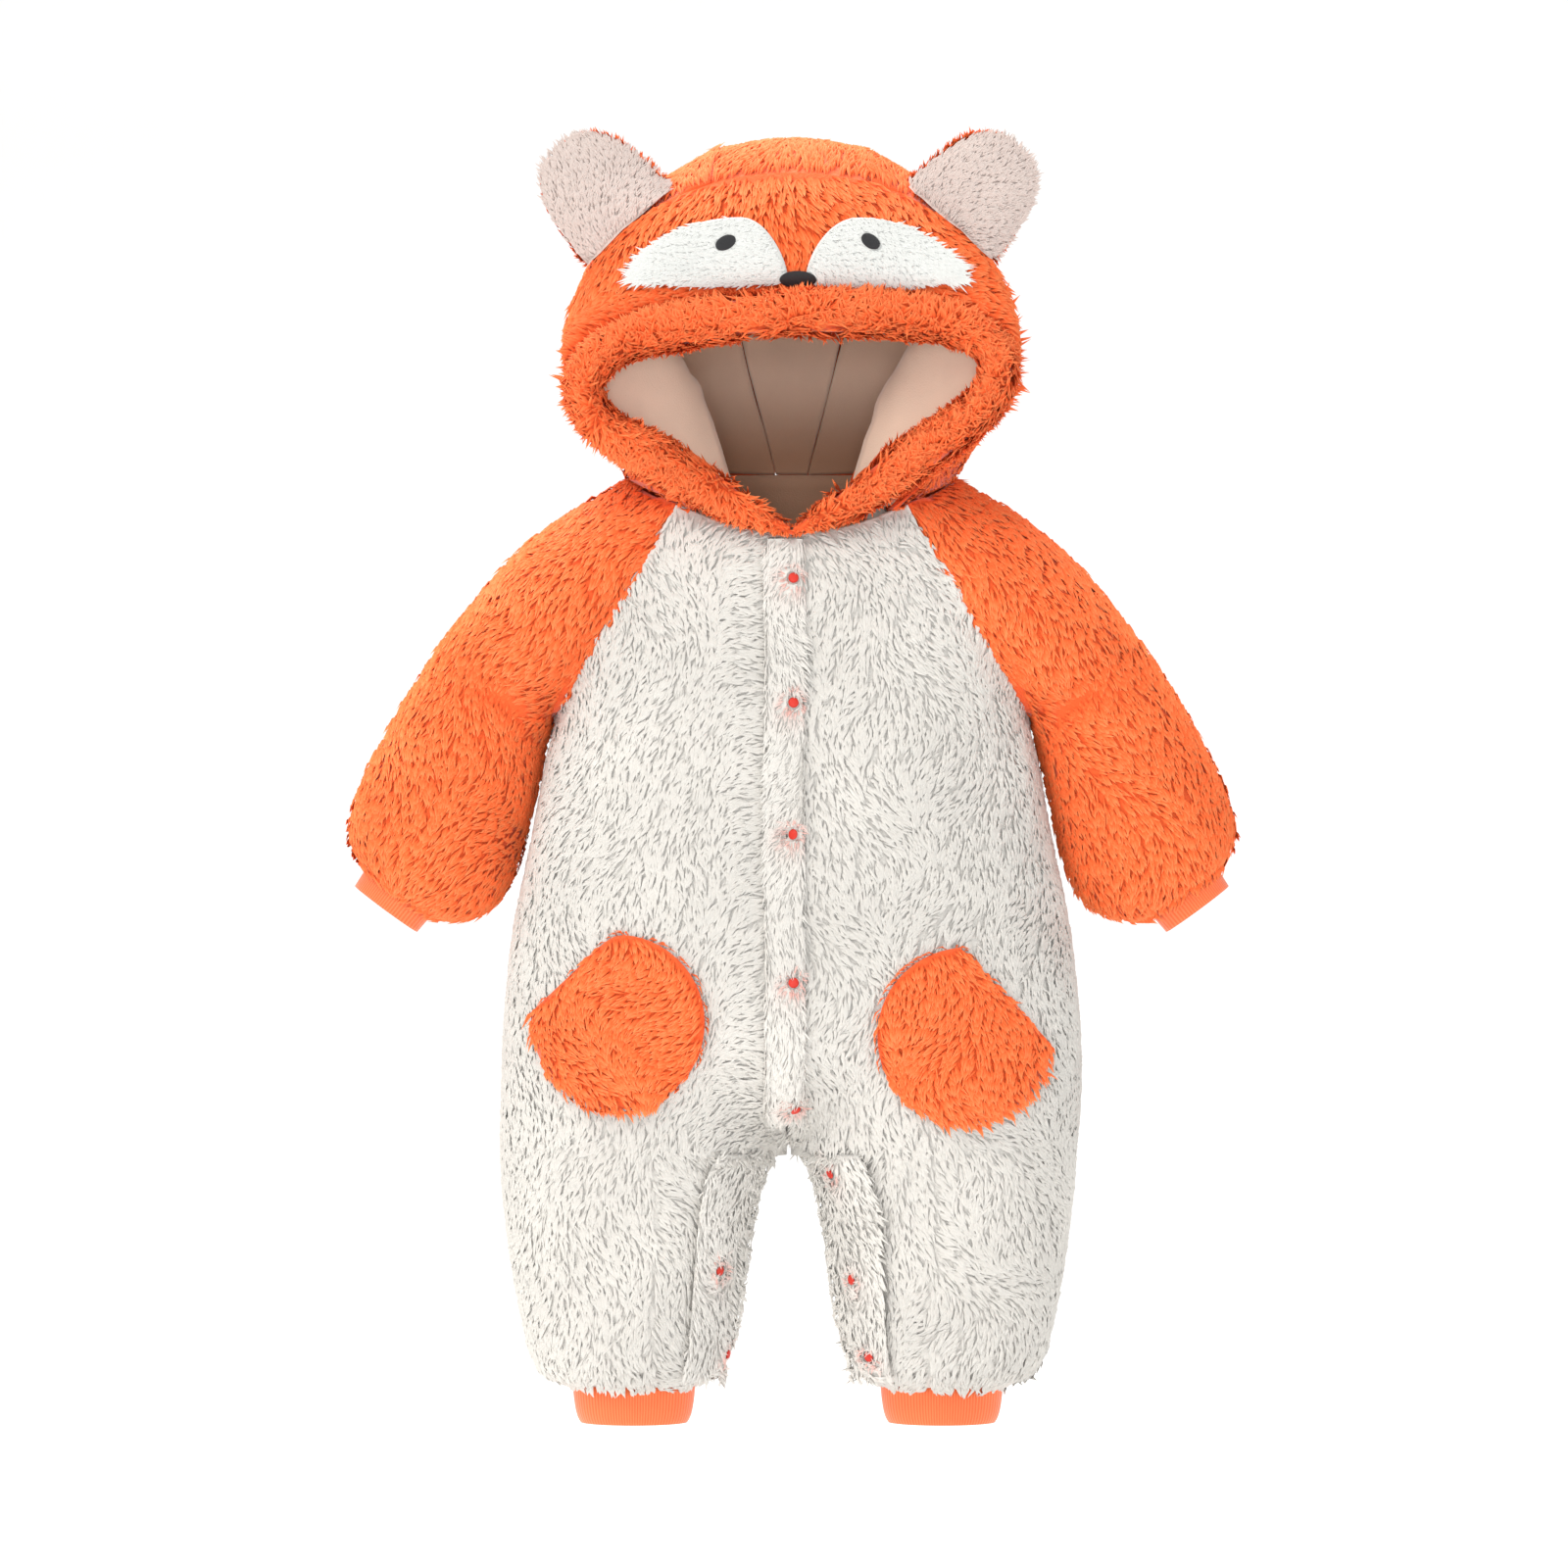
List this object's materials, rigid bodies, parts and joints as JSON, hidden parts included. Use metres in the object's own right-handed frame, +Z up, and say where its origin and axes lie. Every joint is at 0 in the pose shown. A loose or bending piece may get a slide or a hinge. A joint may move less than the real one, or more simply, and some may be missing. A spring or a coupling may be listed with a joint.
{
  "type": "hooded fox baby romper",
  "caption": "Hooded baby romper in long-pile plush with a fox face, ears, patch pockets and a snap front, filled out as worn.",
  "frame": {"origin": "middle of the neck, level with the shoulders, where the wearer carries the garment", "axes": "+X to the viewer's right across the shoulders, -Y out of the front, +Z up"},
  "size_m": [0.5514, 0.217, 0.7993],
  "materials": {
    "white_plush": "long-pile coral fleece, matt",
    "orange_plush": "long-pile coral fleece, matt",
    "cuff_knit": "smooth ribbed cotton jersey",
    "lining": "brushed cotton lining, matt",
    "ear_plush": "short-pile plush, matt",
    "eye_patch": "short-pile plush, matt",
    "black_stitching": "satin-stitch embroidery",
    "snap": "moulded resin, soft gloss"
  },
  "bodies": {
    "root": {"front_left": "white_plush", "front_right": "white_plush", "back_left": "white_plush", "back_right": "white_plush", "placket": "white_plush", "inseam_placket_left": "white_plush", "inseam_placket_right": "white_plush", "sleeve_front_left": "orange_plush", "sleeve_front_right": "orange_plush", "sleeve_back_left": "orange_plush", "sleeve_back_right": "orange_plush", "hood_face": "orange_plush", "hood_centre": "orange_plush", "hood_side_left": "orange_plush", "hood_side_right": "orange_plush", "hood_trim": "orange_plush", "pocket_left": "orange_plush", "pocket_right": "orange_plush", "ear_back_left": "orange_plush", "ear_back_right": "orange_plush", "ankle_cuff_left": "cuff_knit", "ankle_cuff_right": "cuff_knit", "wrist_cuff_left": "cuff_knit", "wrist_cuff_right": "cuff_knit", "hood_lining_centre": "lining", "hood_lining_left": "lining", "hood_lining_right": "lining", "neck_lining": "lining", "ear_front_left": "ear_plush", "ear_front_right": "ear_plush", "eye_patch_left": "eye_patch", "eye_patch_right": "eye_patch", "eye_left": "black_stitching", "eye_right": "black_stitching", "nose": "black_stitching", "snap_1": "snap", "snap_2": "snap", "snap_3": "snap", "snap_4": "snap", "snap_5": "snap", "snap_6": "snap", "snap_7": "snap", "snap_8": "snap", "snap_9": "snap", "snap_10": "snap"}
  },
  "joints": []
}
